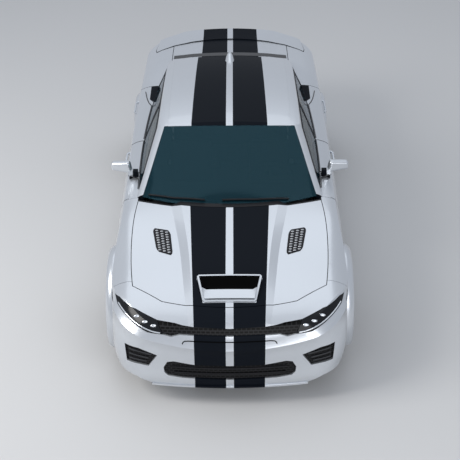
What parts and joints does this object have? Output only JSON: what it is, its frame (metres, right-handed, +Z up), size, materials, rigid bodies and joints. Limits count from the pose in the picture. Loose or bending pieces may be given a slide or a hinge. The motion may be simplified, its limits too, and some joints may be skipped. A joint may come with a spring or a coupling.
{
  "type": "muscle car",
  "caption": "Low, wide four-door muscle car in metallic silver with two black stripes, a hood scoop, flared arches, a rear spoiler and opening doors, hood and trunk.",
  "frame": {"origin": "on the ground at the middle of the car's length and width", "axes": "+Y points to the car's rear, +X to the car's own left side, +Z up"},
  "size_m": [2.0892, 5.116, 1.466],
  "materials": {
    "body_paint": "gloss metallic",
    "black_trim": "satin",
    "window_glass": "tinted",
    "red_lamp": "gloss",
    "clear_lamp": "gloss",
    "liner_plastic": "matte",
    "structure_steel": "coated",
    "cast_iron": "as cast",
    "engine_aluminium": "as cast",
    "exhaust_steel": "brushed",
    "rim_metal": "satin black",
    "tyre_rubber": "matte",
    "interior_plastic": "grained",
    "seat_leather": "satin"
  },
  "bodies": {
    "body": {"front_bumper": "body_paint", "front_fenders": "body_paint", "scuttle": "black_trim", "body_sides": "body_paint", "rear_quarters": "body_paint", "roof_panel": "body_paint", "windscreen": "window_glass", "rear_window": "window_glass", "rear_bumper": "body_paint", "headlamps": "clear_lamp", "tail_lamps": "red_lamp", "front_grilles": "black_trim", "front_splitter": "black_trim", "rear_diffuser": "black_trim", "arch_flares": "body_paint", "side_skirts": "black_trim", "arch_liners": "liner_plastic", "floor_pan": "structure_steel", "hub_carriers": "cast_iron", "front_suspension": "structure_steel", "rear_suspension": "structure_steel", "engine": "engine_aluminium", "driveline": "structure_steel", "radiator": "engine_aluminium", "exhaust": "exhaust_steel", "dashboard": "interior_plastic", "front_seats": "seat_leather", "rear_seat": "seat_leather", "interior_mirror": "interior_plastic"},
    "hood": {"hood": "body_paint"},
    "trunk": {"trunk_lid": "body_paint", "tail_lamp_centre": "red_lamp"},
    "steering_wheel": {"steering_wheel": "interior_plastic"},
    "door_front_left": {"door_front_left": "body_paint", "door_glass_front_left": "window_glass"},
    "wheel_front_left": {"tyre_front_left": "tyre_rubber", "rim_front_left": "rim_metal"},
    "door_rear_left": {"door_rear_left": "body_paint", "door_glass_rear_left": "window_glass"},
    "wheel_rear_left": {"tyre_rear_left": "tyre_rubber", "rim_rear_left": "rim_metal"},
    "knuckle_left": {"knuckle_left": "cast_iron"},
    "door_front_right": {"door_front_right": "body_paint", "door_glass_front_right": "window_glass"},
    "wheel_front_right": {"tyre_front_right": "tyre_rubber", "rim_front_right": "rim_metal"},
    "door_rear_right": {"door_rear_right": "body_paint", "door_glass_rear_right": "window_glass"},
    "wheel_rear_right": {"tyre_rear_right": "tyre_rubber", "rim_rear_right": "rim_metal"},
    "knuckle_right": {"knuckle_right": "cast_iron"}
  },
  "joints": [
    {"name": "hood_hinge", "type": "hinge", "parent": "body", "child": "hood", "pos_m": [0, -1.04, 1.01], "axis": [-1, 0, 0], "range_deg": [0, 60]},
    {"name": "trunk_hinge", "type": "hinge", "parent": "body", "child": "trunk", "pos_m": [0, 1.75, 1.125], "axis": [1, 0, 0], "range_deg": [0, 80]},
    {"name": "door_front_left_hinge", "type": "hinge", "parent": "body", "child": "door_front_left", "pos_m": [0.93, -0.963, 0.6], "axis": [0, 0, -1], "range_deg": [0, 68]},
    {"name": "door_rear_left_hinge", "type": "hinge", "parent": "body", "child": "door_rear_left", "pos_m": [0.936, 0.095, 0.6], "axis": [0, 0, -1], "range_deg": [0, 65]},
    {"name": "steer_left", "type": "hinge", "parent": "body", "child": "knuckle_left", "pos_m": [0.82, -1.595, 0.361], "axis": [0, 0, 1], "range_deg": [-32, 32]},
    {"name": "wheel_front_left_spin", "type": "hinge", "parent": "knuckle_left", "child": "wheel_front_left", "pos_m": [0.829, -1.595, 0.361], "axis": [1, 0, 0], "continuous": true},
    {"name": "wheel_rear_left_spin", "type": "hinge", "parent": "body", "child": "wheel_rear_left", "pos_m": [0.829, 1.478, 0.361], "axis": [1, 0, 0], "continuous": true},
    {"name": "door_front_right_hinge", "type": "hinge", "parent": "body", "child": "door_front_right", "pos_m": [-0.93, -0.963, 0.6], "axis": [0, 0, 1], "range_deg": [0, 68]},
    {"name": "door_rear_right_hinge", "type": "hinge", "parent": "body", "child": "door_rear_right", "pos_m": [-0.936, 0.095, 0.6], "axis": [0, 0, 1], "range_deg": [0, 65]},
    {"name": "steer_right", "type": "hinge", "parent": "body", "child": "knuckle_right", "pos_m": [-0.82, -1.595, 0.361], "axis": [0, 0, 1], "range_deg": [-32, 32]},
    {"name": "wheel_front_right_spin", "type": "hinge", "parent": "knuckle_right", "child": "wheel_front_right", "pos_m": [-0.829, -1.595, 0.361], "axis": [1, 0, 0], "continuous": true},
    {"name": "wheel_rear_right_spin", "type": "hinge", "parent": "body", "child": "wheel_rear_right", "pos_m": [-0.829, 1.478, 0.361], "axis": [1, 0, 0], "continuous": true},
    {"name": "steering_wheel_turn", "type": "hinge", "parent": "body", "child": "steering_wheel", "pos_m": [0.37, -0.455, 0.89], "axis": [0, 0.9119, 0.4104], "range_deg": [-450, 450]}
  ],
  "couplings": [
    {"joint": "steer_right", "follows": "steer_left", "ratio": 1},
    {"joint": "steering_wheel_turn", "follows": "steer_left", "ratio": 14}
  ]
}
